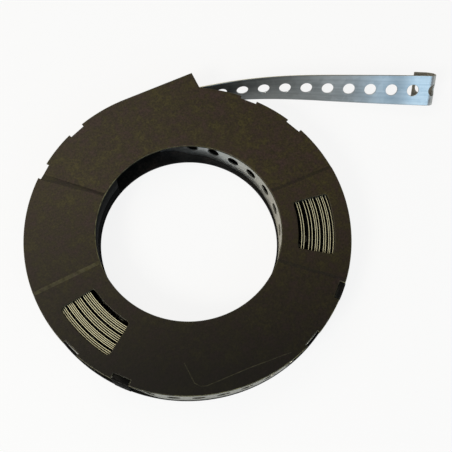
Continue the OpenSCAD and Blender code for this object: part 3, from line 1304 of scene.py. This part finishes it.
# %% Profiles and wear
ROUND = 0.35
UNDER_ROUND = 0.15
BORDER = 0.2
NEAR_EDGE = ROUND + 0.1
NOTCH_NEAR = 4
# each edge: its radius, the stretch in degrees that gets the painted highlight, the lightening there and
# the wear elsewhere
LIT_AND_WORN_EDGES = ((FRONT_OPEN_R, 118, 185, 1, 0.35), (CASE_R, 240, 345, 0.9, 0.45))
OTHER_WEAR = 0.15


def rounded_profile(top, bottom):
    cut = ROUND * (1 - math.sqrt(0.5))
    # each row: the step inwards, the height, the share of the panel's rise, the share of edge wear and
    # highlight
    return (
        (ROUND + BORDER, top, 1, 0), (ROUND, top, 1, 0), (cut, top - cut, 1, 1), (0, top - ROUND, 1, 0.4),
        (0, bottom + UNDER_ROUND, 0, 0.2), (UNDER_ROUND, bottom, 0, 0),
        (UNDER_ROUND + BORDER, bottom, 0, 0),
    )


# Painted highlight on two stretches of edge, plain wear on all other edges.
def edge_light_and_wear(x, y):
    turn = math.degrees(math.atan2(y, x)) % 360
    for r, low, high, most, least in LIT_AND_WORN_EDGES:
        if abs(math.hypot(x, y) - r) < NEAR_EDGE:
            return most if low < turn < high else least
    return OTHER_WEAR


def nearest(loop, place):
    return int(np.argmin(np.linalg.norm(loop - place, axis=1)))


def panel_creases(rim, hole):
    pairs = []
    for a_rim, a_hole in zip(panel_edges(CASE_R), panel_edges(FRONT_OPEN_R)):
        depth = sum(depth for turn, depth in notches if apart(a_rim, turn) < NOTCH_NEAR)
        outer = nearest(rim, turned_point(CASE_R - depth, a_rim))
        inner = nearest(hole, turned_point(FRONT_OPEN_R, a_hole))
        pairs.append((outer, len(rim) + inner))
    return pairs


creases = panel_creases(front_rim, front_middle)
print("creases:", len(creases))

# %% [markdown]
# ### Front shell
# The front plate carries two raised panels with sloping edges. Under the plate, a part of the middle's
# wall hangs down, and small shelves at the clip notches carry the noses of the clips. A low moulded bead
# runs over the plain side of the plate.

# %% Front shell
PLATE_T = 1.2
FRONT_BOTTOM = 18.4
FRONT_TOP = FRONT_BOTTOM + PLATE_T
COLLAR_T = 1
COLLAR_H = 8
WALL_PART = (118, 188)
WALL_PLAY = 0.05
WALL_SINK = 0.6
SHELF = (FRONT_BOTTOM + 0.02, FRONT_BOTTOM + 0.5)
SHELF_IN = 0.4
SHELF_ASIDE = 0.6
# each place of the bead: the radius and the angle
BEAD_PATH = ((67, 243), (73, 245.6), (76.5, 246.9), (78.1, 249), (78.2, 251), (75.2, 267), (79.2, 283))
BEAD_W = 0.8
BEAD_SINK = 0.3
BEAD_RISE = 0.16
wall_out = FRONT_OPEN_R + COLLAR_T

front, front_light_and_wear = new_shell()
front_loops = [front_rim, front_middle] + windows
front_profile = rounded_profile(FRONT_TOP, FRONT_BOTTOM)
plate(front, front_light_and_wear, front_loops, front_profile, creases, panel_height, edge_light_and_wear)
arc_block(front, FRONT_OPEN_R + WALL_PLAY, wall_out, *WALL_PART, COLLAR_H, FRONT_TOP - WALL_SINK)
for turn in CLIPS:
    shelf_r = CASE_R - clip_depth - SHELF_IN
    notch_block(front, turn, shelf_r, CASE_R - NOTCH_D, NOTCH_W + SHELF_ASIDE, *SHELF)
bead(front, front_light_and_wear, BEAD_PATH, BEAD_W, FRONT_TOP - BEAD_SINK, FRONT_TOP + BEAD_RISE)
front_mesh = finish_shell("front_shell_dressed", front, front_plastic)
add_piece("cassette_front", front_mesh, "front_shell")

# %% [markdown]
# ### Back shell
# The back plate has the same outline without notches. A low wall meets the front shell's one beside the
# open middle, another wall closes the outer side of the spout, and two clips stand at the rim.

# %% Back shell
BACK_WEAR = 0.2
WALL_FOOT = 0.4
WALL_MEETS = COLLAR_H - 0.02
POST_W = NOTCH_W - 2 * GAP
POST_FOOT = 0.05
NOSE_TOP = FRONT_TOP - 0.1
NOSE = (FRONT_BOTTOM + 0.55, NOSE_TOP - 0.02)
NOSE_W = POST_W - 0.1
SPOUT_WALL = (CASE_R - RIM_PLAY + 0.3, CASE_R - 0.05)
SPOUT_FOOT = 0.6
post_half = math.degrees(math.asin(POST_W / 2 / CASE_R))
post_in = CASE_R - RIM_PLAY + GAP

back, back_wear = new_shell()
back_profile = rounded_profile(PLATE_T, 0)
plate(back, back_wear, [back_rim, back_middle], back_profile, [], lambda x, y: 0, lambda x, y: BACK_WEAR)
arc_block(back, FRONT_OPEN_R, wall_out, *WALL_PART, WALL_FOOT, WALL_MEETS)
for turn in CLIPS:
    arc_block(back, post_in, CASE_R + GAP, turn - post_half, turn + post_half, POST_FOOT, NOSE_TOP)
    notch_block(back, turn, CASE_R - NOTCH_D - NOSE_L, CASE_R - RIM_PLAY / 2, NOSE_W, *NOSE)
notch_block(back, 90, *SPOUT_WALL, SPOUT_L - 0.1, SPOUT_FOOT, FRONT_BOTTOM, -SPOUT_L / 2)
back_mesh = finish_shell("back_shell_dressed", back, back_plastic)
add_piece("cassette_back", back_mesh, "back_shell")

# %% [markdown]
# ## Sizes
# Both boxes, of the CAD model and of the dressed part, are printed. The dressed part has to stay in
# the box of the CAD model.

# %% Write the sizes and finish
dressed_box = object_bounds()
boxes = {"cad": cad_box, "dressed": dressed_box}
for name, box in boxes.items():
    print(name, "box in mm:", [[round(v / MM, 2) for v in corner] for corner in box])
